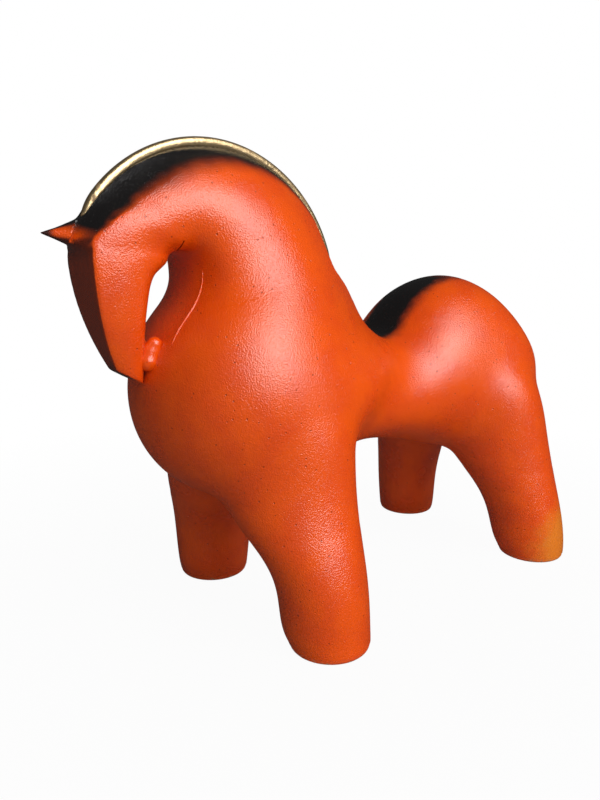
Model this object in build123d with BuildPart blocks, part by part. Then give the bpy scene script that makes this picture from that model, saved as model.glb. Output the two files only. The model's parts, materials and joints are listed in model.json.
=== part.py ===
"""Standing horse ornament: fired-clay pieces luted together, with a gilded crest.

Millimetres, +Z up. The horse faces -X and its left side is -Y. The origin lies
on the ground, midway along the length and on the mirror plane.
"""
import os
from collections import namedtuple
from math import cos, pi, radians, sin

from build123d import *

# Overall sizes
HEIGHT = 250.0          # ground to the top of the crest
STANCE = 182.0          # fore foot centres to hind foot centres
TRACK = 113.0           # left foot centres to right foot centres
NOSE_REACH = 112.5      # forelock tip ahead of the fore foot centres
RUMP_REACH = 21.5       # back of the rump behind the hind foot centres
BACK_HEIGHT = 147.0     # ground to the dip of the back
BELLY_HEIGHT = 80.0     # ground to the belly between the legs
RUMP_HEIGHT = 185.5     # ground to the top of the rump

# Walls, joints and clearances
WALL = 7.0              # thickness of the clay
SPIGOT = 6.0            # depth of the stepped joint between two clay pieces
JOINT_BACK = 3.0        # how far behind its section a joint of the body lies
COLLAR_SHORT = {        # how far below the top of its joint each collar stops
    "poll": WALL / 4,
    "nape": WALL / 4,
    "chest": 3 * WALL,
    "waist": WALL / 4,
}
FIT = 0.3               # slip clearance wherever one piece enters or seats on another
LEG_JOINT = 62.0        # height of the joint between a leg and its barrel
VENT_D = 6.0            # firing vent in the belly
VENT_BACK = 26.0        # vent centre behind the joint of the two barrels

# Feet
FOOT_R = 21.0           # radius of a foot at its sole
SOLE_T = 3.5            # thickness of a sole disc
SOLE_ROUND = 2.5        # rounding of a sole's lower edge
PLUG_H = 4.0            # height of the plug that a sole sends up the leg

# Crest, a strip along a circular arc on the mirror plane
CREST_R = 78.5          # radius of its outer edge
CREST_AHEAD = 28.0      # centre of that arc ahead of the fore foot centres
CREST_T = 6.0           # thickness of the strip
CREST_DEPTH = 8.0       # outer edge to the bottom of the groove
CREST_ROUND = 2.4       # rounding of the outer edge
CREST_FRONT = 150.5     # angle at which the strip starts, above the forelock
CREST_BACK = 15.0       # angle at which it runs out on the back of the neck

# Forelock and chin
FORELOCK_DROP = 48.0    # crest top down to the forelock tip
TENON_D = 6.0           # tenon that holds the forelock in the head
TENON_L = 8.0
TENON_BITE = 2.0        # how far the tenon reaches out of the head, into the cone
PAD_R = 6.5             # radius of the clay pad that ties the chin to the chest
PAD_DROP = 106.0        # crest top down to the middle of the pad
PAD_AHEAD = 70.0        # middle of the pad ahead of the fore foot centres

LENGTH = NOSE_REACH + STANCE + RUMP_REACH
FORE_X = NOSE_REACH - LENGTH / 2
HIND_X = FORE_X + STANCE
WAIST_X = (FORE_X + HIND_X) / 2
FAR = 2 * HEIGHT        # reach of the cutting blocks past the clay
SIDES = {"left": -1, "right": 1}


def neck(ahead, drop):
    """Point given ahead of the fore feet and below the crest top."""
    return Vector(FORE_X - ahead, 0, HEIGHT - drop)


def crest_line(angle, drop):
    """Point under the crest's outer edge, by angle about the arc's centre."""
    centre = neck(CREST_AHEAD, CREST_R)
    reach = CREST_R - drop
    return centre + Vector(reach * cos(radians(angle)), 0, reach * sin(radians(angle)))


def barrel(behind, height):
    """Point given behind the fore feet and above the ground."""
    return Vector(FORE_X + behind, 0, height)


def waist(behind, height):
    return Vector(WAIST_X + behind, 0, height)


def rump(ahead, height):
    """Point given ahead of the hind feet and above the ground."""
    return Vector(HIND_X - ahead, 0, height)


# Cross-sections from the muzzle to the back of the rump. Each is an oval drawn
# from a point on the back line (top) to one on the belly line (low). widest is
# how far down it is broadest, and the fullness of each half is 2 for an ellipse,
# less for a peaked form and more for a boxy one.
Section = namedtuple("Section", "top low half_width widest top_full low_full")
SECTIONS = {
    "muzzle": Section(neck(82.5, 110), neck(73.5, 112), 6, 0.5, 3, 3),
    "nose": Section(neck(88.5, 98), neck(71, 100), 10, 0.5, 4, 3),
    "face": Section(neck(95.5, 74), neck(68.5, 77), 15.5, 0.5, 4, 3),
    "brow": Section(neck(98.5, 51), neck(63.5, 60), 18, 0.5, 3, 3),
    "poll": Section(crest_line(138, 2.5), neck(55.5, 54.5), 21, 0.6, 1.7, 2.5),
    "crown": Section(crest_line(103, 4.5), neck(47.5, 55), 26, 0.6, 1.6, 2.5),
    "mane": Section(crest_line(60, 5), neck(45.5, 66), 34, 0.6, 1.6, 2.5),
    "nape": Section(crest_line(23, 3), neck(49.5, 78), 42, 0.6, 1.6, 2.3),
    "withers": Section(barrel(62, 165), barrel(-65.5, 150), 55, 0.62, 1.6, 2.2),
    "chest": Section(barrel(71.5, BACK_HEIGHT + 8), barrel(-71.5, 121), 61, 0.6, 1.6, 2.1),
    "brisket": Section(barrel(78, BACK_HEIGHT + 4), barrel(-52, BELLY_HEIGHT + 2), 58, 0.54, 1.9, 2.2),
    "heart": Section(barrel(81, BACK_HEIGHT + 1), barrel(-5, BELLY_HEIGHT - 7), 45, 0.5, 2, 2.2),
    "girth": Section(barrel(84, BACK_HEIGHT), barrel(42, BELLY_HEIGHT + 7), 40, 0.5, 2, 2.2),
    "waist": Section(waist(0, BACK_HEIGHT + 5), waist(3, BELLY_HEIGHT + 3), 43, 0.5, 2, 2.1),
    "loin": Section(rump(73, RUMP_HEIGHT - 13), rump(66, BELLY_HEIGHT - 3), 48, 0.5, 2, 2.1),
    "croup": Section(rump(35, RUMP_HEIGHT), rump(33, BELLY_HEIGHT - 7), 54, 0.56, 2, 2.2),
    "haunch": Section(rump(6, RUMP_HEIGHT - 11.5), rump(2, BELLY_HEIGHT + 6), 54, 0.58, 1.9, 2.3),
    "buttock": Section(rump(-13, RUMP_HEIGHT - 34), rump(-14, BELLY_HEIGHT + 22), 40, 0.5, 2, 2),
    "tail": Section(
        rump(-RUMP_REACH, RUMP_HEIGHT - 48), rump(-RUMP_REACH, BELLY_HEIGHT + 39), 18, 0.5, 2, 2
    ),
}
HALF_STEPS = 6          # steps between points along one half of a section
HALF_EDGES = 3          # edges that one half is cut into, so that sections line up

# Forelock ovals: distance behind the tip, half width and half height
FORELOCK_OVALS = [(0, 0.8, 0.8), (7.5, 4.8, 3.4), (22, 10, 7)]

# Legs: ovals at rising heights, each moved forward and inward from the foot
# centre, with its long axis turned towards the middle of the horse's front.
Station = namedtuple("Station", "height forward inward long_r short_r")
Leg = namedtuple("Leg", "foot_x turn stations")
LEGS = {
    "fore": Leg(FORE_X, 38, [
        Station(SOLE_T, 0, 0, FOOT_R, FOOT_R),
        Station(20, 1.5, 2.5, 23, 22.5),
        Station(40, 3, 6, 24.5, 24),
        Station(70, 9, 18.5, 33, 26),
        Station(96, 10, 22.5, 35, 27.5),
        Station(128, 12, 28, 26, 25),
    ]),
    "hind": Leg(HIND_X, 52, [
        Station(SOLE_T, 0, 0, FOOT_R, FOOT_R),
        Station(20, 3, 2.5, 23.5, 22),
        Station(40, 7, 6.5, 25, 23),
        Station(70, 16.5, 17, 32, 25.5),
        Station(96, 23, 21, 34, 27.5),
        Station(128, 28, 27, 27, 26),
    ]),
}


def half_outline(section, inset, side):
    """Points down one side of a section, in the section's own plane."""
    reach = (section.top - section.low).length / 2 - inset
    middle = reach * (1 - 2 * section.widest)
    points = []
    for step in range(HALF_STEPS + 1):
        angle = pi * step / HALF_STEPS
        upper = 2 * step <= HALF_STEPS
        power = 2 / (section.top_full if upper else section.low_full)
        along = abs(cos(angle)) ** power
        out = abs(sin(angle)) ** power if 0 < step < HALF_STEPS else 0
        rise = middle + (reach - middle) * along if upper else middle - (reach + middle) * along
        points.append((rise, side * (section.half_width - inset) * out))
    return points


def smooth_side(points):
    """Curve through the points that leaves both ends square to the mirror plane."""
    first = Vector(0, points[1][1])
    last = Vector(0, -points[-2][1])
    return Edge.make_spline(
        points, tangents=[first, last], parameters=list(range(len(points))), scale=False
    )


def section_plane(name):
    """Plane of a section, with its normal pointing on towards the rump."""
    section = SECTIONS[name]
    up = (section.top - section.low).normalized()
    return Plane((section.top + section.low) / 2, x_dir=up, z_dir=up.cross(Vector(0, -1, 0)))


def body_form(first, last, inset):
    """Smooth solid through the named run of sections, moved in from the skin."""
    names = list(SECTIONS)
    with BuildPart() as form:
        for name in names[names.index(first):names.index(last) + 1]:
            section = SECTIONS[name]
            with BuildSketch(section_plane(name)):
                with BuildLine():
                    for side, order in ((1, 1), (-1, -1)):
                        curve = smooth_side(half_outline(section, inset, side)[::order])
                        for third in range(HALF_EDGES):
                            add(curve.trim(third / HALF_EDGES, (third + 1) / HALF_EDGES))
                make_face()
        loft()
    return form.part


def leg_form(leg, side, inset):
    with BuildPart() as form:
        for station in leg.stations:
            centre = (
                leg.foot_x - station.forward,
                side * (TRACK / 2 - station.inward),
                station.height,
            )
            with BuildSketch(Plane(centre)):
                Ellipse(station.long_r - inset, station.short_r - inset, rotation=side * leg.turn)
        loft()
    return form.part


def slab(low, high):
    """Level slice of space between two heights."""
    with BuildPart() as space:
        with BuildSketch(Plane.XY.offset(low)):
            Rectangle(FAR, FAR)
        extrude(amount=high - low)
    return space.part


def side_block(*corners):
    """Cutting block with the given outline in side view, as wide as the horse."""
    with BuildPart() as block:
        with BuildSketch(Plane.XZ):
            with BuildLine():
                Polyline(*[(corner.X, corner.Z) for corner in corners], close=True)
            make_face()
        extrude(amount=TRACK, both=True)
    return block.part


def joint_plane(name):
    """Plane of the joint that lies just behind a section."""
    return section_plane(name).offset(JOINT_BACK)


def beyond(name, reach):
    """Point past the top end of a joint, on the line of its plane."""
    plane = joint_plane(name)
    return SECTIONS[name].top + plane.z_dir * JOINT_BACK + plane.x_dir * reach


def before(name, reach):
    """Point past the low end of a joint, on the line of its plane."""
    plane = joint_plane(name)
    return SECTIONS[name].low + plane.z_dir * JOINT_BACK - plane.x_dir * reach


def joint_slice(name, gap):
    """Thin slice of space across a joint, where its step sits."""
    onward = joint_plane(name).z_dir
    back = onward * (SPIGOT + gap)
    root = onward * (-WALL / 2)
    top = beyond(name, gap - COLLAR_SHORT[name])
    low = before(name, gap - WALL / 4)
    return side_block(low + root, top + root, top + back, low + back)


# Shared forms: the skin, the hollow inside it and the middle of the wall
skin = body_form("face", "tail", 0)
hollow = body_form("brow", "buttock", WALL)
wall_middle = body_form("brow", "buttock", WALL / 2)
socket_middle = body_form("brow", "buttock", WALL / 2 - FIT)


def spigot(name):
    """Half-thickness collar that a clay piece sends into the next one."""
    with BuildPart() as collar:
        add(wall_middle)
        add(joint_slice(name, 0), mode=Mode.INTERSECT)
        add(hollow, mode=Mode.SUBTRACT)
    return collar.part


def socket(name):
    """Space that a spigot needs in the next piece, with its clearance."""
    with BuildPart() as space:
        add(socket_middle)
        add(joint_slice(name, FIT), mode=Mode.INTERSECT)
    return space.part


def crest_strip(gap):
    """Arc-shaped strip on the mirror plane, widened all round by a gap."""
    front = crest_line(CREST_FRONT, 0)
    back = crest_line(CREST_BACK, 0)
    middle_angle = (CREST_FRONT + CREST_BACK) / 2
    depth = CREST_DEPTH + gap
    with BuildPart() as strip:
        with BuildSketch(Plane.XZ):
            with BuildLine():
                outer = ThreePointArc(*[(p.X, p.Z) for p in (front, crest_line(middle_angle, 0), back)])
                inner = ThreePointArc(*[
                    (p.X, p.Z)
                    for p in (
                        crest_line(CREST_FRONT, depth),
                        crest_line(middle_angle, depth),
                        crest_line(CREST_BACK, depth),
                    )
                ])
                Line(outer @ 0, inner @ 0)
                Line(outer @ 1, inner @ 1)
            make_face()
        extrude(amount=CREST_T / 2 + gap, both=True)
    return strip.part


crest_groove = crest_strip(FIT)
head_skin = body_form("muzzle", "crown", 0)
head_clear = body_form("muzzle", "crown", -FIT)
os.makedirs("parts", exist_ok=True)


def write(piece, name):
    piece.part.label = name
    export_step(piece.part, f"parts/{name}.step")


def facing_front(origin):
    return Plane(origin, x_dir=(0, 1, 0), z_dir=(-1, 0, 0))


# Forelock: a small cone on the brow, held by a tenon
tip = neck(NOSE_REACH, FORELOCK_DROP)
tenon_start = Vector(SECTIONS["brow"].top.X - TENON_BITE, 0, tip.Z)
with BuildPart() as forelock:
    for along, half_width, half_height in FORELOCK_OVALS:
        with BuildSketch(facing_front(tip + Vector(along, 0, 0))):
            Ellipse(half_width, half_height)
    loft()
    add(head_clear, mode=Mode.SUBTRACT)
    with BuildSketch(facing_front(tenon_start)):
        Circle(TENON_D / 2)
    extrude(amount=-TENON_L)
write(forelock, "forelock")

# Head: muzzle to poll, solid below the brow
with BuildPart() as head:
    add(head_skin)
    split(bisect_by=joint_plane("poll"), keep=Keep.BOTTOM)
    add(hollow, mode=Mode.SUBTRACT)
    add(spigot("poll"))
    add(crest_groove, mode=Mode.SUBTRACT)
    with BuildSketch(facing_front(tenon_start)):
        Circle(TENON_D / 2 + FIT)
    extrude(amount=-TENON_L - FIT, mode=Mode.SUBTRACT)
write(head, "head")

# Upper and lower neck, two rings that close round the throat
throat = (SECTIONS["mane"].low + SECTIONS["face"].low) / 2
with BuildPart() as neck_upper:
    add(skin)
    add(
        side_block(
            before("poll", SPIGOT),
            beyond("poll", FAR),
            beyond("nape", FAR),
            before("nape", 0),
            throat,
        ),
        mode=Mode.INTERSECT,
    )
    add(hollow, mode=Mode.SUBTRACT)
    add(socket("poll"), mode=Mode.SUBTRACT)
    add(spigot("nape"))
    add(crest_groove, mode=Mode.SUBTRACT)
write(neck_upper, "neck_upper")

over_back = beyond("chest", SPIGOT)
under_chin = before("chest", WALL)
with BuildPart() as neck_lower:
    add(skin)
    add(
        side_block(
            before("nape", 0),
            beyond("nape", SPIGOT),
            Vector(over_back.X, 0, beyond("nape", SPIGOT).Z),
            over_back,
            under_chin,
            Vector(under_chin.X, 0, SECTIONS["withers"].low.Z),
            throat,
        ),
        mode=Mode.INTERSECT,
    )
    add(hollow, mode=Mode.SUBTRACT)
    add(socket("nape"), mode=Mode.SUBTRACT)
    add(crest_groove, mode=Mode.SUBTRACT)
    add(spigot("chest"))
write(neck_lower, "neck_lower")


def leg_hollow(leg, side):
    return leg_form(leg, side, WALL)


def leg_spigot(leg, side):
    """Half-thickness collar on top of a leg."""
    with BuildPart() as collar:
        add(leg_form(leg, side, WALL / 2))
        add(slab(LEG_JOINT, LEG_JOINT + SPIGOT), mode=Mode.INTERSECT)
        add(leg_hollow(leg, side), mode=Mode.SUBTRACT)
    return collar.part


def leg_socket(leg, side):
    with BuildPart() as space:
        add(leg_form(leg, side, WALL / 2 - FIT))
        add(slab(LEG_JOINT, LEG_JOINT + SPIGOT + FIT), mode=Mode.INTERSECT)
    return space.part


# Chest barrel, with the stumps of the fore legs
floor_front = Vector(-FAR, 0, 0)
waist_top = beyond("waist", SPIGOT)
waist_low = before("waist", BELLY_HEIGHT)
with BuildPart() as chest_barrel:
    add(skin)
    for side in SIDES.values():
        add(leg_form(LEGS["fore"], side, 0))
    add(
        side_block(
            under_chin,
            over_back,
            waist_top,
            waist_low,
            floor_front,
            Vector(floor_front.X, 0, under_chin.Z),
        ),
        mode=Mode.INTERSECT,
    )
    split(bisect_by=Plane.XY.offset(LEG_JOINT), keep=Keep.TOP)
    add(hollow, mode=Mode.SUBTRACT)
    for side in SIDES.values():
        add(leg_hollow(LEGS["fore"], side), mode=Mode.SUBTRACT)
        add(leg_socket(LEGS["fore"], side), mode=Mode.SUBTRACT)
    add(socket("chest"), mode=Mode.SUBTRACT)
    add(spigot("waist"))
write(chest_barrel, "chest_barrel")

# Rump barrel, with the stumps of the hind legs and the firing vent
with BuildPart() as rump_barrel:
    add(skin)
    for side in SIDES.values():
        add(leg_form(LEGS["hind"], side, 0))
    add(
        side_block(beyond("waist", FAR), Vector(FAR, 0, FAR), Vector(FAR, 0, 0), waist_low),
        mode=Mode.INTERSECT,
    )
    split(bisect_by=Plane.XY.offset(LEG_JOINT), keep=Keep.TOP)
    add(hollow, mode=Mode.SUBTRACT)
    for side in SIDES.values():
        add(leg_hollow(LEGS["hind"], side), mode=Mode.SUBTRACT)
        add(leg_socket(LEGS["hind"], side), mode=Mode.SUBTRACT)
    add(socket("waist"), mode=Mode.SUBTRACT)
    with BuildSketch(Plane.XY.offset(LEG_JOINT)):
        with Locations((SECTIONS["waist"].low.X + VENT_BACK, 0)):
            Circle(VENT_D / 2)
    extrude(amount=BELLY_HEIGHT + 2 * WALL - LEG_JOINT, mode=Mode.SUBTRACT)
write(rump_barrel, "rump_barrel")


def sole_plug(leg, side):
    """Plug on top of a sole disc that fills the foot of the leg's hollow."""
    with BuildPart() as plug:
        add(leg_form(leg, side, WALL + FIT))
        add(slab(SOLE_T, SOLE_T + PLUG_H), mode=Mode.INTERSECT)
    return plug.part


# Legs and soles
for end, leg in LEGS.items():
    for side_name, side in SIDES.items():
        with BuildPart() as leg_piece:
            add(leg_form(leg, side, 0))
            split(bisect_by=Plane.XY.offset(LEG_JOINT), keep=Keep.BOTTOM)
            add(leg_hollow(leg, side), mode=Mode.SUBTRACT)
            add(leg_spigot(leg, side))
        write(leg_piece, f"{end}_{side_name}_leg")

        with BuildPart() as sole:
            with BuildSketch(Plane((leg.foot_x, side * TRACK / 2, 0))):
                Circle(FOOT_R)
            extrude(amount=SOLE_T)
            fillet(sole.edges().group_by(Axis.Z)[0], SOLE_ROUND)
            add(sole_plug(leg, side))
        write(sole, f"{end}_{side_name}_sole")

# Crest strip with a rounded outer edge
with BuildPart() as crest:
    add(crest_strip(0))
    fillet(crest.edges().filter_by(GeomType.CIRCLE).group_by(SortBy.RADIUS)[-1], CREST_ROUND)
write(crest, "crest")

# Chin pad, the dab of clay that ties the muzzle to the chest
with BuildPart() as chin_pad:
    with Locations(neck(PAD_AHEAD, PAD_DROP)):
        Sphere(PAD_R, rotation=(0, 90, 0))
    add(head_clear, mode=Mode.SUBTRACT)
    add(body_form("mane", "heart", -FIT), mode=Mode.SUBTRACT)
write(chin_pad, "chin_pad")
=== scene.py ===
"""Painted clay horse with a gilded crest: skin, finish, light and camera."""
import json
from math import atan2, cos, degrees, hypot, pi, radians, sin

import bmesh
import bpy
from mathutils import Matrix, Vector

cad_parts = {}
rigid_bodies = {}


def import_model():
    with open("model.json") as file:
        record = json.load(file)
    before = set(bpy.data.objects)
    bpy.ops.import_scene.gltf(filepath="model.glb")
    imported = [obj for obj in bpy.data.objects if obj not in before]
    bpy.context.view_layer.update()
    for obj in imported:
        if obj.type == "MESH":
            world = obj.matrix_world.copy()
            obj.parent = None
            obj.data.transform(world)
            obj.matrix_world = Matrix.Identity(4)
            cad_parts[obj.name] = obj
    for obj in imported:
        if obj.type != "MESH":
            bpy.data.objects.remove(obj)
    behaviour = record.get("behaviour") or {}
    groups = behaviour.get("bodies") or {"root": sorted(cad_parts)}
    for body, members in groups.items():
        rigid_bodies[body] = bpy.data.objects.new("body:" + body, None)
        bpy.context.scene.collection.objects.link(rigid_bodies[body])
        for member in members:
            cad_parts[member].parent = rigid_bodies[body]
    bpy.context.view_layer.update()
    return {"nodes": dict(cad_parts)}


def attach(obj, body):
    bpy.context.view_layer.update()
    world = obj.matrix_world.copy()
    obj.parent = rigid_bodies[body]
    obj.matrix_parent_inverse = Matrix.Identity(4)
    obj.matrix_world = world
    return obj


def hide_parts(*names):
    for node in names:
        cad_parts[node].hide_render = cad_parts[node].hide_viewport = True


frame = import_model()

MM = 0.001
SKIN_GRAIN = 1.2 * MM          # size of the faces of each fused skin
HEAD_GRAIN = 0.8 * MM
FILLER_GRAIN = 0.5 * MM
SWELL = 1 * MM                 # how far solids grow before they are fused
BARREL_NODES = ["neck_upper", "neck_lower", "chest_barrel", "rump_barrel"]
LEG_NAMES = ["fore_left", "fore_right", "hind_left", "hind_right"]
FOOT_CENTRES = {
    "fore_left": (-45.5, -56.5),
    "fore_right": (-45.5, 56.5),
    "hind_left": (136.5, -56.5),
    "hind_right": (136.5, 56.5),
}
SOLE_TOP = 3.5 * MM
SOLE_NARROW = 0.985            # width of a sole against its leg
LEG_JOINT = 62 * MM
FORELOCK_X = -145.2 * MM       # joint of forelock and head
LAP = 0.1 * MM                 # how far the head reaches over the neck
JOINT_BACK = 3 * MM            # how far behind its section a joint lies
MEET_REACH = 12 * MM           # length over which the head's skin is drawn onto the neck's
MEET_BEHIND = 2 * MM           # how far past the joint it still is
MEET_NEAR = 6 * MM             # skins farther apart than this are left alone
CRISP_EDGE = radians(50)       # steeper folds stay sharp

# Ends of the sections that the joints follow, side view, millimetres
JOINTS = {
    "poll": ((-129.98, 222.35), (-101, 195.5)),
    "nape": ((-4, 201), (-95, 172)),
    "chest": ((26, 155), (-117, 121)),
    "waist": ((45.5, 152), (48.5, 83)),
}
CREST_CENTRE = Vector((-73.5, 0, 171.5)) * MM
CREST_R = 78.5 * MM
THROAT_X = -101 * MM           # joint of head and neck in the roof of the throat


def only(piece):
    """Selects one piece and makes it the active one."""
    bpy.ops.object.select_all(action="DESELECT")
    piece.select_set(True)
    bpy.context.view_layer.objects.active = piece


def edit(piece, mode="VERT"):
    """Opens a piece in edit mode."""
    only(piece)
    bpy.ops.object.mode_set(mode="EDIT")
    bpy.ops.mesh.select_mode(type=mode)


def leave_edit():
    bpy.ops.object.mode_set(mode="OBJECT")


def apply_modifier(piece, kind, **settings):
    """Adds a modifier with its settings and applies it."""
    only(piece)
    modifier = piece.modifiers.new(kind.lower(), kind)
    for name, value in settings.items():
        setattr(modifier, name, value)
    bpy.ops.object.modifier_apply(modifier=modifier.name)


def smooth(piece, passes, **limits):
    apply_modifier(piece, "SMOOTH", factor=0.5, iterations=passes, **limits)


def duplicate(piece, name):
    """Copy of a piece with its own mesh."""
    copy = piece.copy()
    copy.data = piece.data.copy()
    copy.name = name
    bpy.context.scene.collection.objects.link(copy)
    return copy


def clay_copy(node):
    """Merged copy of a solid from the frame."""
    copy = duplicate(frame["nodes"][node], node + "_clay")
    copy.parent = None
    for key in list(copy.keys()):
        del copy[key]
    edit(copy)
    bpy.ops.mesh.select_all(action="SELECT")
    bpy.ops.mesh.remove_doubles(threshold=1e-6)
    leave_edit()
    return copy


def lump(x, y, z, radius):
    """Ball of clay, given in millimetres."""
    bpy.ops.object.select_all(action="DESELECT")
    bpy.ops.mesh.primitive_uv_sphere_add(radius=radius * MM, location=Vector((x, y, z)) * MM)
    return bpy.context.object


def join(pieces, name):
    """Makes one object of several, with its place in its mesh."""
    bpy.ops.object.select_all(action="DESELECT")
    for piece in pieces:
        piece.select_set(True)
    bpy.context.view_layer.objects.active = pieces[0]
    bpy.ops.object.transform_apply(location=True, rotation=True, scale=True)
    bpy.ops.object.join()
    joined = bpy.context.object
    joined.name = name
    return joined


def fuse(piece, grain):
    """Swells joined solids into each other, fuses them and shrinks the result back."""
    apply_modifier(piece, "DISPLACE", strength=SWELL, mid_level=0)
    apply_modifier(piece, "REMESH", mode="VOXEL", voxel_size=grain)
    apply_modifier(piece, "DISPLACE", strength=-SWELL, mid_level=0)
    keep_foremost_part(piece)


def keep_foremost_part(piece):
    """Keeps what hangs together with the piece's foremost point."""
    edit(piece)
    bpy.ops.mesh.select_all(action="DESELECT")
    mesh = bmesh.from_edit_mesh(piece.data)
    min(mesh.verts, key=lambda vert: vert.co.x).select_set(True)
    mesh.select_flush(True)
    bmesh.update_edit_mesh(piece.data)
    bpy.ops.mesh.select_linked()
    bpy.ops.mesh.select_all(action="INVERT")
    bpy.ops.mesh.delete(type="VERT")
    leave_edit()


def cage(name, rings, creased, smoothing=3, end_crease=0):
    """Extrudes a loop of points through a row of rings and smooths the result."""
    bpy.ops.object.select_all(action="DESELECT")
    bpy.ops.mesh.primitive_circle_add(vertices=len(rings[0]), fill_type="NGON")
    piece = bpy.context.object
    piece.name = name
    edit(piece, "FACE")
    bpy.ops.mesh.select_all(action="SELECT")
    mesh = bmesh.from_edit_mesh(piece.data)
    crease = mesh.edges.layers.float.get("crease_edge") or mesh.edges.layers.float.new("crease_edge")
    mesh.verts.ensure_lookup_table()
    loop = list(mesh.verts)
    first = set(loop)
    for vert, point in zip(loop, rings[0]):
        vert.co = Vector(point) * MM
    for ring in rings[1:]:
        bpy.ops.mesh.extrude_region_move()
        mesh = bmesh.from_edit_mesh(piece.data)
        crease = mesh.edges.layers.float["crease_edge"]
        loop = [
            next(edge.other_vert(vert) for edge in vert.link_edges if edge.other_vert(vert).select)
            for vert in loop
        ]
        for index, (vert, point) in enumerate(zip(loop, ring)):
            vert.co = Vector(point) * MM
            if index in creased:
                rail = next(edge for edge in vert.link_edges if not edge.other_vert(vert).select)
                rail[crease] = creased[index]
    for edge in mesh.edges:
        if end_crease and first.issuperset(edge.verts):
            edge[crease] = end_crease
    bpy.ops.mesh.select_all(action="SELECT")
    bpy.ops.mesh.fill_holes(sides=0)
    bpy.ops.mesh.normals_make_consistent(inside=False)
    leave_edit()
    apply_modifier(piece, "SUBSURF", levels=smoothing, render_levels=smoothing)
    return piece


def press_clay_into_creases(piece, low, high, soft, passes):
    """Fills the hollows between two heights and leaves what stands out."""
    mesh = piece.data
    before = [vert.co.copy() for vert in mesh.vertices]
    normals = [vert.normal.copy() for vert in mesh.vertices]
    smooth(piece, passes)
    for vert, old, normal in zip(mesh.vertices, before, normals):
        share = min((old.z - low) / soft, (high - old.z) / soft, 1)
        out = (vert.co - old).dot(normal)
        vert.co = old + normal * out * share if share > 0 and out > 0 else old


def rub_smooth(piece, low, high, soft, passes):
    """Rubs a piece smooth between two heights."""
    group = piece.vertex_groups.new(name="rubbed")
    for vert in piece.data.vertices:
        share = min((vert.co.z - low) / soft, (high - vert.co.z) / soft, 1)
        if share > 0:
            group.add([vert.index], share, "REPLACE")
    smooth(piece, passes, vertex_group="rubbed")
    piece.vertex_groups.clear()


def meet(piece, other, planes):
    """Draws a piece onto another one's surface, more and more towards the planes."""
    bpy.context.view_layer.update()
    for vert in piece.data.vertices:
        ahead = min((point - vert.co).dot(normal) for point, normal in planes)
        if -MEET_BEHIND < ahead < MEET_REACH:
            _, spot, _, _ = other.closest_point_on_mesh(vert.co)
            if (spot - vert.co).length < MEET_NEAR:
                vert.co = vert.co.lerp(spot, 1 - max(ahead, 0) / MEET_REACH)


def plane_of(joint):
    """Point on a joint's plane and its normal towards the rump."""
    (top_x, top_z), (low_x, low_z) = JOINTS[joint]
    up = Vector((top_x - low_x, 0, top_z - low_z)).normalized()
    onward = Vector((up.z, 0, -up.x))
    return Vector((low_x, 0, low_z)) * MM + onward * JOINT_BACK, onward


def cut(piece, point, normal, keep_ahead, before=None):
    """Cuts a piece by a plane, keeps one side and closes the cut. With a place
    along the length given, only what lies before it is cut."""
    edit(piece, "FACE")
    bpy.ops.mesh.select_all(action="SELECT")
    if before is not None:
        bpy.ops.mesh.bisect(plane_co=(before, 0, 0), plane_no=(1, 0, 0))
        bpy.ops.mesh.select_all(action="DESELECT")
        mesh = bmesh.from_edit_mesh(piece.data)
        for face in mesh.faces:
            face.select_set(face.calc_center_median().x < before)
        bmesh.update_edit_mesh(piece.data)
    bpy.ops.mesh.bisect(
        plane_co=point,
        plane_no=normal,
        use_fill=True,
        clear_inner=keep_ahead,
        clear_outer=not keep_ahead,
    )
    leave_edit()


def split(piece, name, point, normal):
    """Takes the part of a piece beyond a plane off it, as a new piece."""
    taken = duplicate(piece, name)
    cut(taken, point, normal, keep_ahead=True)
    cut(piece, point, normal, keep_ahead=False)
    return taken


# Hollowed flank beside the crest: its depth in millimetres, by degrees about the crest's centre
FLANK = [
    (1, 1), (9, 14), (16, 27), (30, 29), (42, 22), (60, 13),
    (85, 12), (105, 14), (122, 16.5), (138, 15), (150, 10), (162, 4),
]
FLANK_FROM = 1
FLANK_TO = 163
FLANK_CURVE = 1.5              # above 1, so that the flank is hollow
FLANK_STEP = 2                 # degrees between the rows of an eased table
FLANK_ROUNDS = 5
EDGE_STEP = 4                  # degrees over which the skin's width is measured
EDGE_SPARE = 3                 # degrees past the flank that are measured too
EDGE_NEAR = 1 * MM
EDGE_ROUNDS = 8
FIN_HALF = 2.3 * MM


def between(rows, at):
    """Value at a place in a table of rising places, straight between its rows."""
    for (low, first), (high, last) in zip(rows, rows[1:]):
        if low <= at <= high:
            return first + (last - first) * (at - low) / (high - low)
    return rows[0][1] if at < rows[0][0] else rows[-1][1]


def eased(rows, step, rounds):
    """Table at even steps, with its corners rounded off."""
    count = int((rows[-1][0] - rows[0][0]) / step) + 1
    places = [rows[0][0] + step * turn for turn in range(count)]
    values = [between(rows, place) for place in places]
    for _ in range(rounds):
        ends = [values[0]] + values + [values[-1]]
        values = [(ends[turn] + ends[turn + 1] + ends[turn + 2]) / 3 for turn in range(len(values))]
    return list(zip(places, values))


def crest_angle_depth(point):
    """Angle about the crest's centre and depth below its outer edge."""
    arm = point - CREST_CENTRE
    return degrees(atan2(arm.z, arm.x)), CREST_R - hypot(arm.x, arm.z)


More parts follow.
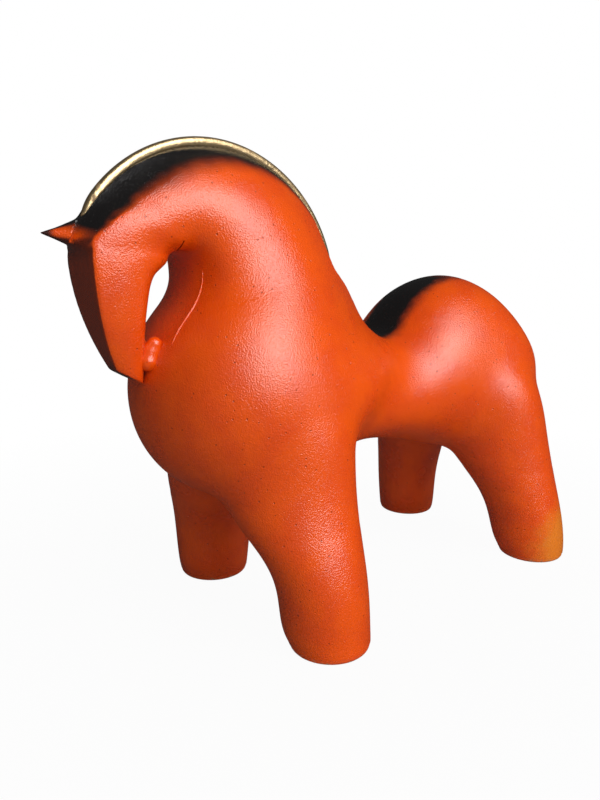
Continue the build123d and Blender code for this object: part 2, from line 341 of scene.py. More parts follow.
def carve_fin_flanks(pieces):
    """Hollows the skin on both sides of the crest, up to a crisp lower edge."""
    flanks = eased(FLANK, FLANK_STEP, FLANK_ROUNDS)
    widths = {}
    for piece in pieces:
        for vert in piece.data.vertices:
            angle, depth = crest_angle_depth(vert.co)
            beside = FLANK_FROM - EDGE_SPARE < angle < FLANK_TO + EDGE_SPARE
            if beside and abs(depth - between(flanks, angle) * MM) < EDGE_NEAR:
                turn = round(angle / EDGE_STEP) * EDGE_STEP
                widths[turn] = max(widths.get(turn, 0), abs(vert.co.y))
    edge = eased(sorted(widths.items()), FLANK_STEP, EDGE_ROUNDS)
    for piece in pieces:
        for vert in piece.data.vertices:
            angle, depth = crest_angle_depth(vert.co)
            flank = between(flanks, angle) * MM
            if FLANK_FROM < angle < FLANK_TO and 0 < depth < flank:
                spread = between(edge, angle) - FIN_HALF
                width = FIN_HALF + spread * (depth / flank) ** FLANK_CURVE
                if abs(vert.co.y) > width:
                    vert.co.y = width if vert.co.y > 0 else -width


# Head: a wedge with a flat face between two ridges, drawn from the muzzle up
HEAD_RINGS = [
    # front x and z, ridge half width, cheek x and half width, jaw x, z and half width
    (-129.5, 142.0, 4.3, -124.0, 6.8, -115.0, 134.0, 5.0),
    (-134.5, 153.0, 8.2, -126.0, 10.8, -114.5, 147.0, 8.5),
    (-139.0, 168.0, 12.8, -128.5, 15.2, -114.0, 162.0, 12.0),
    (-141.5, 183.0, 15.5, -128.5, 18.2, -112.0, 176.0, 14.5),
    (-142.5, 198.0, 16.5, -127.0, 19.6, -110.0, 186.0, 16.5),
    (-137.0, 209.0, 12.0, -122.0, 19.0, -92.0, 193.5, 19.0),
]
RIDGE_CREASES = {0: 0.9, 5: 0.9}
MUZZLE_CREASE = 0.7


def head_ring(front_x, front_z, ridge_y, cheek_x, cheek_y, jaw_x, jaw_z, jaw_y):
    """Ridge, cheek and jaw of the left side, then of the right."""
    def level(x):
        return front_z + (jaw_z - front_z) * (x - front_x) / (jaw_x - front_x)

    half = [(front_x, -ridge_y, front_z), (cheek_x, -cheek_y, level(cheek_x)), (jaw_x, -jaw_y, jaw_z)]
    other = [(x, -y, z) for x, y, z in reversed(half)]
    return half + other


head_rings = [head_ring(*ring) for ring in HEAD_RINGS]
head_cage = cage("head_cage", head_rings, RIDGE_CREASES, end_crease=MUZZLE_CREASE)

# Forelock: a beak with narrow side facets
FORELOCK_RINGS = [
    # x, middle z, half width, half height
    (-158.0, 202.0, 0.5, 0.4),
    (-152.0, 202.0, 3.2, 2.6),
    (-146.5, 202.0, 7.0, 5.6),
    (-139.0, 202.5, 13.0, 9.5),
    (-129.0, 204.0, 17.5, 11.0),
]
FACET_TOP = 0.35               # upper and lower edge of a side facet, by half height
FACET_FOOT = -0.45
FACET_CREASES = {1: 0.35, 2: 0.5, 4: 0.5, 5: 0.35}


def forelock_ring(x, z, width, height):
    """Top and facet of the left side, then bottom and facet of the right."""
    top = z + height * FACET_TOP
    foot = z + height * FACET_FOOT
    left = [(x, 0, z + height), (x, -width, top), (x, -width, foot)]
    return left + [(x, 0, z - height), (x, width, foot), (x, width, top)]


forelock_rings = [forelock_ring(*ring) for ring in FORELOCK_RINGS]
forelock_cage = cage("forelock_cage", forelock_rings, FACET_CREASES)

# Balls that close the open neck and the firing vent: place and radius in millimetres
NECK_BALL = (-50, 0, 187, 46)
VENT_BALL = (74.5, 0, 88, 7)

# Heights above which the head's solid, and the cage's brow, go into a skin
POLL_FROM = 0.196
BROW_FROM = 0.186

# Skin of the head, with the upper neck so that it can meet the rest
head_copy = clay_copy("head")
cut(head_copy, (0, 0, POLL_FROM), (0, 0, 1), keep_ahead=True)
head_top = duplicate(head_copy, "head_top")
brow_top = duplicate(head_cage, "brow_top")
cut(brow_top, (0, 0, BROW_FROM), (0, 0, 1), keep_ahead=True)
neck_copy = clay_copy("neck_upper")
head = join([head_copy, neck_copy, head_cage, forelock_cage, lump(*NECK_BALL)], "head_skin")
fuse(head, HEAD_GRAIN)

# Skin of neck, barrels, legs and soles, with the top of the head so that the two
# skins agree where they meet
solids = [head_top, brow_top] + [clay_copy(node) for node in BARREL_NODES]
solids += [clay_copy(leg + "_leg") for leg in LEG_NAMES]
solids += [clay_copy(leg + "_sole") for leg in LEG_NAMES]
skin = join(solids + [lump(*VENT_BALL)], "body_skin")
fuse(skin, SKIN_GRAIN)

# Heights that are pressed or rubbed: lower end, upper end and how softly they end
LEG_ROOTS = (30 * MM, 185 * MM, 15 * MM)
BARREL_SIDES = (62 * MM, 172 * MM, 22 * MM)
POLL_CREASES = (190 * MM, 226 * MM, 6 * MM)
POLL_SIDES = (196 * MM, 226 * MM, 8 * MM)
ROOT_ROUNDS = 4
ROOT_PASSES = 110
BARREL_PASSES = 260
FLANK_PASSES = 2

for _ in range(ROOT_ROUNDS):
    press_clay_into_creases(skin, *LEG_ROOTS, ROOT_PASSES)
rub_smooth(skin, *BARREL_SIDES, BARREL_PASSES)
# The head's finer faces take more pressing and rubbing
for piece, pressed, rubbed, evened in ((skin, 36, 13, 4), (head, 80, 30, 2)):
    press_clay_into_creases(piece, *POLL_CREASES, pressed)
    rub_smooth(piece, *POLL_SIDES, rubbed)
    smooth(piece, evened)
carve_fin_flanks([head, skin])
for piece in (head, skin):
    smooth(piece, FLANK_PASSES)
roof_plane = (Vector((THROAT_X, 0, 0)), Vector((1, 0, 0)))
meet(head, skin, [plane_of("poll"), roof_plane])

# Raised seam where the throat was closed, in millimetres, laid on the skin
SEAM = [(-94.8, 189), (-93.8, 181), (-103.8, 165), (-108.8, 158.6), (-108.8, 153)]
SEAM_Y = -16
SEAM_R = 0.75
SEAM_END = 0.25                # radius of both ends, as a share of the middle's
SEAM_STEPS = 24
SEAM_ROUNDS = 10
SEAM_SIDES = 6


def throat_seam():
    """Thread of clay along the seam, thick in the middle and thin at both ends."""
    step = (len(SEAM) - 1) / SEAM_STEPS
    xs = eased(list(enumerate(x for x, z in SEAM)), step, SEAM_ROUNDS)
    zs = eased(list(enumerate(z for x, z in SEAM)), step, SEAM_ROUNDS)
    sides = [side * 2 * pi / SEAM_SIDES for side in range(SEAM_SIDES)]
    rings = []
    for turn, ((_, x), (_, z)) in enumerate(zip(xs, zs)):
        _, spot, normal, _ = skin.closest_point_on_mesh(Vector((x, SEAM_Y, z)) * MM)
        nearby = min(turn, len(xs) - 2)
        run = xs[nearby + 1][1] - xs[nearby][1]
        rise = zs[nearby + 1][1] - zs[nearby][1]
        across = Vector((run, 0, rise)).normalized().cross(normal).normalized()
        radius = SEAM_R * (SEAM_END + (1 - SEAM_END) * sin(pi * turn / (len(xs) - 1)))
        rings.append([
            tuple(spot / MM + across * radius * cos(side) + normal * radius * sin(side))
            for side in sides
        ])
    return cage("throat_seam", rings, {}, smoothing=1)


seam = throat_seam()

# Cuts along the joints
poll_point, poll_normal = plane_of("poll")
cut(head, poll_point + poll_normal * LAP, poll_normal, keep_ahead=False)
cut(head, (THROAT_X + LAP, 0, 0), (1, 0, 0), keep_ahead=False)
keep_foremost_part(head)
forelock = split(head, "forelock_skin", (FORELOCK_X, 0, 0), (-1, 0, 0))
rump = split(skin, "rump_barrel_skin", *plane_of("waist"))
lower = split(skin, "below_nape", *plane_of("nape"))
neck_upper = skin
neck_upper.name = "neck_upper_skin"
cut(neck_upper, poll_point, poll_normal, keep_ahead=True, before=THROAT_X)
chest = split(lower, "chest_barrel_skin", *plane_of("chest"))
neck_lower = lower
neck_lower.name = "neck_lower_skin"

pieces = {"head": head, "forelock": forelock, "neck_upper": neck_upper, "neck_lower": neck_lower}
for end, barrel in (("fore", chest), ("hind", rump)):
    legs = split(barrel, end + "_legs", (0, 0, LEG_JOINT), (0, 0, -1))
    soles = split(legs, end + "_soles", (0, 0, SOLE_TOP), (0, 0, -1))
    for pair, kind in ((legs, "leg"), (soles, "sole")):
        right = split(pair, f"{end}_right_{kind}_skin", (0, 0, 0), (0, 1, 0))
        pair.name = f"{end}_left_{kind}_skin"
        pieces[f"{end}_right_{kind}"] = right
        pieces[f"{end}_left_{kind}"] = pair
pieces["chest_barrel"] = chest
pieces["rump_barrel"] = rump

# Soles a hair narrower than the legs, so that a fine line shows between them
for leg, (x, y) in FOOT_CENTRES.items():
    edit(pieces[leg + "_sole"])
    bpy.ops.mesh.select_all(action="SELECT")
    narrow = (SOLE_NARROW, SOLE_NARROW, 1)
    bpy.ops.transform.resize(value=narrow, center_override=(x * MM, y * MM, 0))
    leave_edit()

# Crest: half of its cross-section, as half width and depth below the outer edge in millimetres
CREST_HALF = [(0, 0), (1.7, 0.4), (2.6, 1.6), (2.7, 3.1), (2.2, 4.5), (1.5, 5.2), (1.5, 9)]
CREST_FROM = 10.0              # degrees about the crest's centre, at the nape
CREST_TO = 153.0               # and at the brow
CREST_STEPS = 36
NAPE_TAPER = 7                 # degrees over which an end thins out
BROW_TAPER = 9
TAPER_CURVE = 0.6
TIP_WIDTH = 0.1                # width of the very end, as a share of the full width
TIP_SINK = 3                   # how far the very end lies below the arc, millimetres


def crest_ring(angle):
    """Cross-section of the crest at an angle about its centre."""
    rise = (angle - CREST_FROM) / NAPE_TAPER
    fall = (CREST_TO - angle) / BROW_TAPER
    full = min(rise, fall, 1) ** TAPER_CURVE
    share = TIP_WIDTH + (1 - TIP_WIDTH) * full
    edge = CREST_R / MM - TIP_SINK * (1 - full)
    half = [(width * share, edge - depth) for width, depth in CREST_HALF]
    loop = half + [(-width, reach) for width, reach in reversed(half[1:])]
    centre = CREST_CENTRE / MM
    return [
        (centre.x + reach * cos(radians(angle)), width, centre.z + reach * sin(radians(angle)))
        for width, reach in loop
    ]


crest_sweep = CREST_TO - CREST_FROM
crest_angles = [CREST_FROM + crest_sweep * turn / CREST_STEPS for turn in range(CREST_STEPS + 1)]
crest_rings = [crest_ring(angle) for angle in crest_angles]
pieces["crest"] = cage("crest_skin", crest_rings, {}, smoothing=2)

# Filler pressed between chin and chest: place and radius of its lumps in millimetres
FILLER_LUMPS = [
    (-113.5, 0, 147, 7),
    (-112.5, -4.6, 150, 4.8),
    (-114, -4.6, 145.5, 5),
    (-111, -6, 153.5, 3.6),
    (-112.5, 4.6, 150, 4.8),
    (-114, 4.6, 145, 5),
]
FILLER_PASSES = 40
chin = join([lump(*ball) for ball in FILLER_LUMPS], "chin_filler")
fuse(chin, FILLER_GRAIN)
smooth(chin, FILLER_PASSES)
pieces["chin_pad"] = chin

for node, piece in pieces.items():
    only(piece)
    bpy.ops.object.shade_smooth_by_angle(angle=CRISP_EDGE)
    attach(piece, "root")
    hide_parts(node)
only(seam)
bpy.ops.object.shade_smooth()
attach(seam, "root")


def put(tree, kind, sockets=None, **settings):
    """Adds a node, sets its fields and sets or links its sockets."""
    made = tree.nodes.new("ShaderNode" + kind)
    for name, value in settings.items():
        setattr(made, name, value)
    for name, value in (sockets or {}).items():
        if isinstance(value, bpy.types.NodeSocket):
            tree.links.new(value, made.inputs[name])
        else:
            made.inputs[name].default_value = value
    return made


def reckon(tree, operation, *values):
    """Result of a Math node."""
    return put(tree, "Math", dict(enumerate(values)), operation=operation).outputs[0]


def fade(tree, value, start, stop):
    """Rises softly from 0 at start to 1 at stop."""
    sockets = {"Value": value, "From Min": start, "From Max": stop}
    return put(tree, "MapRange", sockets, interpolation_type="SMOOTHSTEP").outputs["Result"]


def span(tree, value, places, results):
    """Goes evenly from one result to the other between two places."""
    sockets = {"Value": value, "From Min": places[0], "From Max": places[1]}
    sockets.update({"To Min": results[0], "To Max": results[1]})
    return put(tree, "MapRange", sockets).outputs["Result"]


def overlay(tree, share, first, second):
    """Second colour over the first. The Mix node repeats its sockets' names, so numbers are used."""
    return put(tree, "Mix", {0: share, 6: first, 7: second}, data_type="RGBA").outputs[2]


def by_angle(tree, turn, rows, top):
    """Value by crest angle, from rows of degrees and values up to a top."""
    ramp = put(tree, "ValToRGB", {"Fac": turn})
    ramp.color_ramp.interpolation = "EASE"
    stops = ramp.color_ramp.elements
    while len(stops) < len(rows):
        stops.new(0.5)
    for stop, (angle, value) in zip(stops, rows):
        stop.position = angle / 180
        stop.color = (value / top, value / top, value / top, 1)
    return reckon(tree, "MULTIPLY", ramp.outputs["Color"], top)


def spots(tree, place, scale):
    """Soft noise around 0.5."""
    return put(tree, "TexNoise", {"Vector": place, "Scale": scale, "Detail": 3}).outputs["Fac"]


def recipe(name, *outputs):
    """New shader group with number outputs."""
    tree = bpy.data.node_groups.new(name, "ShaderNodeTree")
    for output in outputs:
        tree.interface.new_socket(output, in_out="OUTPUT", socket_type="NodeSocketFloat")
    return tree, tree.nodes.new("NodeGroupOutput")


def use(tree, group):
    """Places a shader group and gives its outputs."""
    return put(tree, "Group", node_tree=group).outputs


# Grain of the paint: scales of its patterns, and fades that bound its pits
PEEL_SCALE = 1500
MOTTLE_SCALE = 55
MOTTLE_RISE = 0.6
PIT_SCALE = 420
PIT_RIM = (0.24, 0.12)
PIT_CHANCE = (0.86, 0.9)
PIT_DEPTH = 0.6


def clay_grain_recipe():
    """Orange-peel grain of the paint, with small pits and a broad mottle."""
    tree, out = recipe("clay_grain", "Height", "Pits", "Mottle")
    place = put(tree, "TexCoord").outputs["Object"]
    fine = {"Vector": place, "Scale": PEEL_SCALE, "Detail": 1, "Roughness": 0.5}
    peel = put(tree, "TexNoise", fine).outputs["Fac"]
    broad = spots(tree, place, MOTTLE_SCALE)
    cells = put(tree, "TexVoronoi", {"Vector": place, "Scale": PIT_SCALE})
    chance = put(tree, "SeparateColor", {"Color": cells.outputs["Color"]}).outputs[0]
    near = fade(tree, cells.outputs["Distance"], *PIT_RIM)
    pits = reckon(tree, "MULTIPLY", near, fade(tree, chance, *PIT_CHANCE))
    height = reckon(tree, "MULTIPLY_ADD", broad, MOTTLE_RISE, peel)
    height = reckon(tree, "MULTIPLY_ADD", pits, -PIT_DEPTH, height)
    tree.links.new(height, out.inputs["Height"])
    tree.links.new(pits, out.inputs["Pits"])
    tree.links.new(broad, out.inputs["Mottle"])
    return tree


def crest_place_recipe():
    """Place about the crest: turn from 0 to 1 over half a circle, and depth below its edge."""
    tree, out = recipe("crest_place", "Turn", "Depth")
    axes = put(tree, "SeparateXYZ", {0: put(tree, "TexCoord").outputs["Object"]}).outputs
    run = reckon(tree, "SUBTRACT", axes["X"], CREST_CENTRE.x)
    rise = reckon(tree, "SUBTRACT", axes["Z"], CREST_CENTRE.z)
    turn = reckon(tree, "DIVIDE", reckon(tree, "ARCTAN2", rise, run), pi)
    squares = reckon(tree, "MULTIPLY_ADD", run, run, reckon(tree, "MULTIPLY", rise, rise))
    depth = reckon(tree, "SUBTRACT", CREST_R, reckon(tree, "SQRT", squares))
    tree.links.new(turn, out.inputs["Turn"])
    tree.links.new(depth, out.inputs["Depth"])
    return tree


clay_grain = clay_grain_recipe()
crest_place = crest_place_recipe()

# Black sprayed beside the crest: depth in millimetres and softness, by degrees
SPRAY_DEPTH = [
    (4, 6), (15, 9.5), (30, 11), (60, 12), (85, 14),
    (105, 15.5), (122, 16.5), (138, 14), (150, 9), (160, 4),
]
SPRAY_TOP = 30
SPRAY_SOFT = [(10, 0.4), (60, 0.6), (95, 0.75), (120, 0.7), (140, 0.4), (165, 0.3)]
SPRAY_WANDER = 2.5 * MM
SPRAY_NAPE = (0.04, 0.09)      # fades at its ends, in half turns about the crest's centre
SPRAY_BROW = (0.88, 0.85)
WANDER_SCALE = 140

# Black stripe along the croup: fades at its ends and low edge, and its width, in metres
STRIPE_FRONT = (0.028, 0.036)
STRIPE_BACK = (0.125, 0.085)
STRIPE_LOW = (0.138, 0.146)
STRIPE_SPAN = (0.036, 0.1)     # places at which its half width is given
STRIPE_HALF = (0.018, 0.02)
STRIPE_EDGE = (1.3, 0.7)       # by half width
STRIPE_Y = 6 * MM              # its middle lies to the right of the ridge
STRIPE_WANDER = 6 * MM

# Rubbed patch on the left hind foot: its middle and fade, in metres
RUBBED_PLACE = (0.144, -0.078, 0.012)
RUBBED_REACH = (0.034, 0.014)
RUBBED_WANDER = 14 * MM


def airbrush_recipe():
    """Black beside the crest and along the croup, and a rubbed patch on one foot."""
    tree, out = recipe("airbrush", "Black", "Rubbed")
    place = put(tree, "TexCoord").outputs["Object"]
    axes = put(tree, "SeparateXYZ", {0: place}).outputs
    wander = reckon(tree, "SUBTRACT", spots(tree, place, WANDER_SCALE), 0.5)
    round_crest = use(tree, crest_place)
    turn = round_crest["Turn"]
    reach = reckon(tree, "MULTIPLY", by_angle(tree, turn, SPRAY_DEPTH, SPRAY_TOP), MM)
    depth = reckon(tree, "MULTIPLY_ADD", wander, SPRAY_WANDER, round_crest["Depth"])
    soft = by_angle(tree, turn, SPRAY_SOFT, 1)
    start = reckon(tree, "MULTIPLY_ADD", soft, 0.5, 1)
    stop = reckon(tree, "MULTIPLY_ADD", soft, -0.5, 1)
    fin = fade(tree, reckon(tree, "DIVIDE", depth, reach), start, stop)
    ends = reckon(tree, "MULTIPLY", fade(tree, turn, *SPRAY_NAPE), fade(tree, turn, *SPRAY_BROW))
    fin = reckon(tree, "MULTIPLY", fin, ends)
    half = span(tree, axes["X"], STRIPE_SPAN, STRIPE_HALF)
    aside = reckon(tree, "ABSOLUTE", reckon(tree, "SUBTRACT", axes["Y"], STRIPE_Y))
    aside = reckon(tree, "MULTIPLY_ADD", wander, STRIPE_WANDER, aside)
    stripe = fade(tree, reckon(tree, "DIVIDE", aside, half), *STRIPE_EDGE)
    for axis, ends in (("X", STRIPE_FRONT), ("X", STRIPE_BACK), ("Z", STRIPE_LOW)):
        stripe = reckon(tree, "MULTIPLY", stripe, fade(tree, axes[axis], *ends))
    black = reckon(tree, "MAXIMUM", fin, stripe)
    apart = put(tree, "VectorMath", {0: place, 1: RUBBED_PLACE}, operation="DISTANCE")
    away = reckon(tree, "MULTIPLY_ADD", wander, RUBBED_WANDER, apart.outputs["Value"])
    rubbed = fade(tree, away, *RUBBED_REACH)
    tree.links.new(black, out.inputs["Black"])
    tree.links.new(rubbed, out.inputs["Rubbed"])
    return tree


airbrush = airbrush_recipe()
ORANGE = (0.78, 0.082, 0.001, 1)
DEEP_ORANGE = (0.72, 0.066, 0.001, 1)
PIT_BROWN = (0.12, 0.014, 0.004, 1)
RUBBED_YELLOW = (0.74, 0.19, 0.012, 1)
BLACK = (0.007, 0.006, 0.006, 1)
FACE_BROWN = (0.24, 0.03, 0.008, 1)
BARE_CLAY = (0.5, 0.2, 0.08, 1)
LIGHT_LEAF = (0.84, 0.64, 0.37, 1)
DARK_LEAF = (0.58, 0.40, 0.19, 1)
WORN_LEAF = (0.14, 0.07, 0.025, 1)

# Roughness and strength of the grain
BODY_FINISH = (0.25, 0.7)
SOLE_FINISH = (0.4, 0.4)
FILLER_FINISH = (0.2, 0.25)

WHOLE = (0, 1)
ROUGH_LESS = 0.05              # how far the mottle takes the roughness down and up
ROUGH_MORE = 0.07
PAINT_SPECULAR = 0.9
GRAIN_DEPTH = 0.4 * MM
DEEP_SPOTS = (0.35, 0.65)      # fade from orange to deep orange, by mottle
PIT_SHADE = 0.55


def material(name):
    """New material with its nodes and its shader."""
    made = bpy.data.materials.new(name)
    made.use_nodes = True
    return made, made.node_tree, made.node_tree.nodes["Principled BSDF"]


def feed(tree, shader, **values):
    """Links values to a shader's sockets, named with underscores."""
    for name, value in values.items():
        tree.links.new(value, shader.inputs[name.replace("_", " ")])


def bumps(tree, height, strength):
    sockets = {"Strength": strength, "Distance": GRAIN_DEPTH, "Height": height}
    return put(tree, "Bump", sockets).outputs["Normal"]


def orange_coat(tree, grain):
    """Orange with its mottle, pits, rubbed patch and sprayed black."""
    spray = use(tree, airbrush)
    colour = overlay(tree, fade(tree, grain["Mottle"], *DEEP_SPOTS), ORANGE, DEEP_ORANGE)
    colour = overlay(tree, reckon(tree, "MULTIPLY", grain["Pits"], PIT_SHADE), colour, PIT_BROWN)
    colour = overlay(tree, spray["Rubbed"], colour, RUBBED_YELLOW)
    return overlay(tree, spray["Black"], colour, BLACK)


def finish_paint(tree, shader, grain, colour, roughness, strength):
    """Coat of a colour, rougher where its mottle is high."""
    rough = span(tree, grain["Mottle"], WHOLE, (roughness - ROUGH_LESS, roughness + ROUGH_MORE))
    bump = bumps(tree, grain["Height"], strength)
    feed(tree, shader, Base_Color=colour, Roughness=rough, Normal=bump)
    shader.inputs["Specular IOR Level"].default_value = PAINT_SPECULAR


def orange_paint():
    made, tree, shader = material("orange_paint")
    grain = use(tree, clay_grain)
    finish_paint(tree, shader, grain, orange_coat(tree, grain), *BODY_FINISH)
    return made


def sideways(tree):
    """How far the surface faces to the left or right."""
    facing = put(tree, "NewGeometry").outputs["Normal"]
    return reckon(tree, "ABSOLUTE", put(tree, "SeparateXYZ", {0: facing}).outputs["Y"])


# Paint of head and forelock: fades by place in metres, or by how far a face looks sideways
FACE_ASIDE = (0.62, 0.4)
FACE_BACK = (-0.118, -0.124)
BEAK_ASIDE = (0.74, 0.5)
BEAK_BACK = (-0.136, -0.15)
TIP_BACK = (-0.15, -0.154)
BAND_Z = 203.5 * MM            # orange band on the forelock's side facet
BAND_HALF = (5 * MM, 2.5 * MM)
BAND_ASIDE = (0.25, 0.5)
BAND_FRONT = (-0.155, -0.151)
MUZZLE_BLACK = (0.15, 0.134)
BROW_BLACK = (0.188, 0.206)


def head_paint():
    """Orange sides and a face that is sprayed dark between its ridges."""
    made, tree, shader = material("head_paint")
    grain = use(tree, clay_grain)
    axes = put(tree, "SeparateXYZ", {0: put(tree, "TexCoord").outputs["Object"]}).outputs
    aside = sideways(tree)
    face = fade(tree, aside, *FACE_ASIDE)
    face = reckon(tree, "MULTIPLY", face, fade(tree, axes["X"], *FACE_BACK))
    beak = fade(tree, axes["X"], *BEAK_BACK)
    beak = reckon(tree, "MULTIPLY", beak, fade(tree, aside, *BEAK_ASIDE))
    beak = reckon(tree, "MAXIMUM", beak, fade(tree, axes["X"], *TIP_BACK))
    face = reckon(tree, "MAXIMUM", face, beak)
    middle = reckon(tree, "ABSOLUTE", reckon(tree, "SUBTRACT", axes["Z"], BAND_Z))
    band = fade(tree, middle, *BAND_HALF)
    band = reckon(tree, "MULTIPLY", band, fade(tree, aside, *BAND_ASIDE))
    band = reckon(tree, "MULTIPLY", band, fade(tree, axes["X"], *BAND_FRONT))
    face = reckon(tree, "MULTIPLY", face, reckon(tree, "SUBTRACT", 1, band))
    low = fade(tree, axes["Z"], *MUZZLE_BLACK)
    high = fade(tree, axes["Z"], *BROW_BLACK)
    dark = overlay(tree, reckon(tree, "MAXIMUM", low, high), FACE_BROWN, BLACK)
    colour = overlay(tree, face, orange_coat(tree, grain), dark)
    finish_paint(tree, shader, grain, colour, *BODY_FINISH)
    return made


# Chips along the ground: fades by noise, and by height in metres
CHIP_SCALE = 420
CHIP_EDGE = (0.56, 0.62)
CHIP_HEIGHT = (0.0036, 0.0012)
GROUND_HEIGHT = (0.0008, 0.0002)


def sole_paint():
    """Orange, chipped to the bare clay along the ground."""
    made, tree, shader = material("sole_paint")
    grain = use(tree, clay_grain)
    place = put(tree, "TexCoord").outputs["Object"]
    height = put(tree, "SeparateXYZ", {0: place}).outputs["Z"]
    chips = fade(tree, spots(tree, place, CHIP_SCALE), *CHIP_EDGE)
    worn = reckon(tree, "MULTIPLY", chips, fade(tree, height, *CHIP_HEIGHT))
    bare = reckon(tree, "MAXIMUM", worn, fade(tree, height, *GROUND_HEIGHT))
    colour = overlay(tree, bare, orange_coat(tree, grain), BARE_CLAY)
    finish_paint(tree, shader, grain, colour, *SOLE_FINISH)
    return made


def filler_paint():
    """Thick glossy orange over the pressed filler."""
    made, tree, shader = material("filler_paint")
    grain = use(tree, clay_grain)
    finish_paint(tree, shader, grain, orange_coat(tree, grain), *FILLER_FINISH)
    return made


# Gold leaf: scales of its noises, its lower edge, and where and how it is rubbed through
LEAF_EDGE = (5.4 * MM, 4.6 * MM)
LEAF_EDGE_SCALE = 420
LEAF_WANDER = 3 * MM
LEAF_SCALE = 300
LEAF_BUMP_SCALE = 650
LEAF_BUMP = 0.5
LEAF_ROUGH = (0.34, 0.55)      # whole and rubbed
LEAF_METAL = 0.95
WORN_SCALE = 170
WORN_EDGE = (0.58, 0.68)
WORN_SHADE = 0.8
WORN_METAL = 0.6               # how much metal is lost where it is rubbed


def gilt():
    """Gold leaf on the bead, rubbed through in places, above a black fin."""
    made, tree, shader = material("gilt")
    place = put(tree, "TexCoord").outputs["Object"]
    wander = reckon(tree, "SUBTRACT", spots(tree, place, LEAF_EDGE_SCALE), 0.5)
    depth = reckon(tree, "MULTIPLY_ADD", wander, LEAF_WANDER, use(tree, crest_place)["Depth"])
    gold = fade(tree, depth, *LEAF_EDGE)
    worn = fade(tree, spots(tree, place, WORN_SCALE), *WORN_EDGE)
    leaf = overlay(tree, spots(tree, place, LEAF_SCALE), LIGHT_LEAF, DARK_LEAF)
    leaf = overlay(tree, reckon(tree, "MULTIPLY", worn, WORN_SHADE), leaf, WORN_LEAF)
    left = reckon(tree, "MULTIPLY_ADD", worn, -WORN_METAL, LEAF_METAL)
    metal = reckon(tree, "MULTIPLY", gold, left)
    rough = span(tree, worn, WHOLE, LEAF_ROUGH)
    bump = bumps(tree, spots(tree, place, LEAF_BUMP_SCALE), LEAF_BUMP)
    colour = overlay(tree, gold, BLACK, leaf)
    feed(tree, shader, Base_Color=colour, Metallic=metal, Roughness=rough, Normal=bump)
    return made


body_coat = orange_paint()
head_coat = head_paint()
FINISHES = {
    "head": (head_coat, "painted_clay"),
    "forelock": (head_coat, "dark_clay"),
    "crest": (gilt(), "gilt_crest"),
    "chin_pad": (filler_paint(), "chin_filler"),
}
sole_coat = sole_paint()
for leg in LEG_NAMES:
    FINISHES[leg + "_sole"] = (sole_coat, "sole_clay")
for node, piece in list(pieces.items()) + [("throat_seam", seam)]:
    coat, slot = FINISHES.get(node, (body_coat, "painted_clay"))
    piece.data.materials.clear()
    piece.data.materials.append(coat)

# Floor, light and camera
FLOOR_SIZE = 12
FLOOR_GREY = (0.4, 0.4, 0.4, 1)
FLOOR_ROUGH = 0.9
FLOOR_SPAN = (0.1, 0.5)        # distances from the middle, in metres,
FLOOR_WHITE = (0.96, 1)        # at which the camera sees it this white
ROOM_LIGHT = 0.1
ROOM_MIRRORED = 0.04           # level of the room in reflections

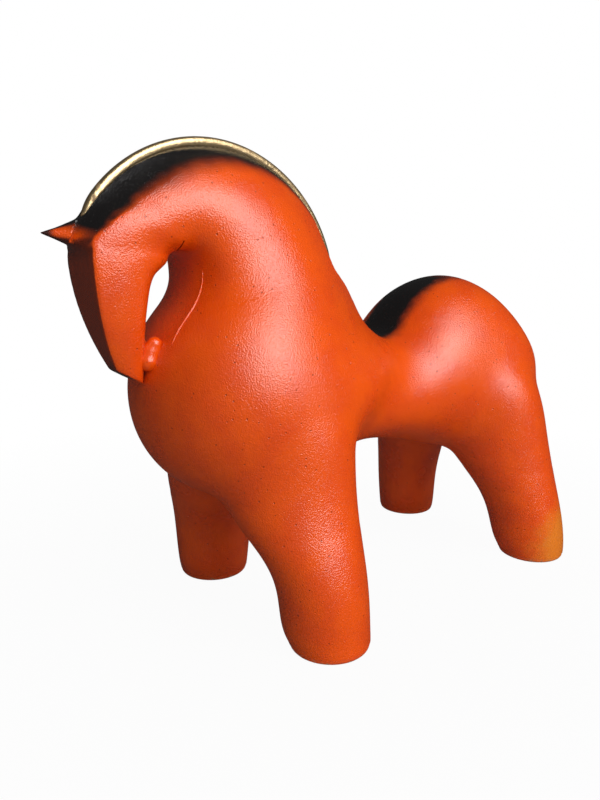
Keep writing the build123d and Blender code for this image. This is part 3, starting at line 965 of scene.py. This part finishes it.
scene = bpy.context.scene
scene.view_settings.view_transform = "Standard"
bpy.ops.object.select_all(action="DESELECT")
bpy.ops.mesh.primitive_plane_add(size=FLOOR_SIZE)
floor = bpy.context.object
floor.name = "floor"
pale, tree, shader = material("pale_floor")
shader.inputs["Base Color"].default_value = FLOOR_GREY
shader.inputs["Roughness"].default_value = FLOOR_ROUGH
place = put(tree, "TexCoord").outputs["Object"]
away = put(tree, "VectorMath", {0: place}, operation="LENGTH").outputs["Value"]
white = span(tree, away, FLOOR_SPAN, FLOOR_WHITE)
seen = reckon(tree, "MULTIPLY", put(tree, "LightPath").outputs["Is Camera Ray"], white)
glow = put(tree, "Emission", {"Strength": 1}).outputs[0]
mixed = put(tree, "MixShader", {0: seen, 1: shader.outputs[0], 2: glow})
tree.links.new(mixed.outputs[0], tree.nodes["Material Output"].inputs["Surface"])
floor.data.materials.append(pale)
floor.visible_glossy = False

world = bpy.data.worlds.new("studio")
scene.world = world
world.use_nodes = True
tree = world.node_tree
sky = tree.nodes["Background"]
sky.inputs["Color"].default_value = (1, 1, 1, 1)
path = put(tree, "LightPath").outputs
mirrored = reckon(tree, "MAXIMUM", path["Is Glossy Ray"], path["Is Transmission Ray"])
level = reckon(tree, "MULTIPLY_ADD", mirrored, ROOM_MIRRORED - ROOM_LIGHT, ROOM_LIGHT)
level = reckon(tree, "MAXIMUM", level, path["Is Camera Ray"])
tree.links.new(level, sky.inputs["Strength"])


def softbox(name, place, target, width, height, power):
    """Soft lamp at a place, turned towards its target, in metres and watts."""
    lamp = bpy.data.lights.new(name, "AREA")
    lamp.shape = "RECTANGLE"
    lamp.size = width
    lamp.size_y = height
    lamp.energy = power
    box = bpy.data.objects.new(name, lamp)
    scene.collection.objects.link(box)
    box.location = place
    box.rotation_euler = (Vector(target) - Vector(place)).to_track_quat("-Z", "Y").to_euler()
    return box


softbox("window", (0.05, -0.88, 0.69), (0, 0, 0.12), width=0.9, height=1.05, power=14)
fills = [
    softbox("front fill", (-0.75, -0.75, 0.5), (0, 0, 0.1), width=0.9, height=0.9, power=1.8),
    softbox("back fill", (0.5, 0.9, 0.6), (0, 0, 0.1), width=0.9, height=0.9, power=5),
]
for fill in fills:
    fill.visible_glossy = False

CAMERA_PLACE = Vector((-0.2438, -0.2808, 0.1833))
CAMERA_AIM = Vector((0.613, 0.768, -0.186))
FOCAL_PIXELS = 641
FRAME_HEIGHT = 800
camera_data = bpy.data.cameras.new("camera")
camera_data.lens = FOCAL_PIXELS / FRAME_HEIGHT * camera_data.sensor_width
camera = bpy.data.objects.new("camera", camera_data)
scene.collection.objects.link(camera)
camera.location = CAMERA_PLACE
camera.rotation_euler = CAMERA_AIM.to_track_quat("-Z", "Y").to_euler()
scene.camera = camera
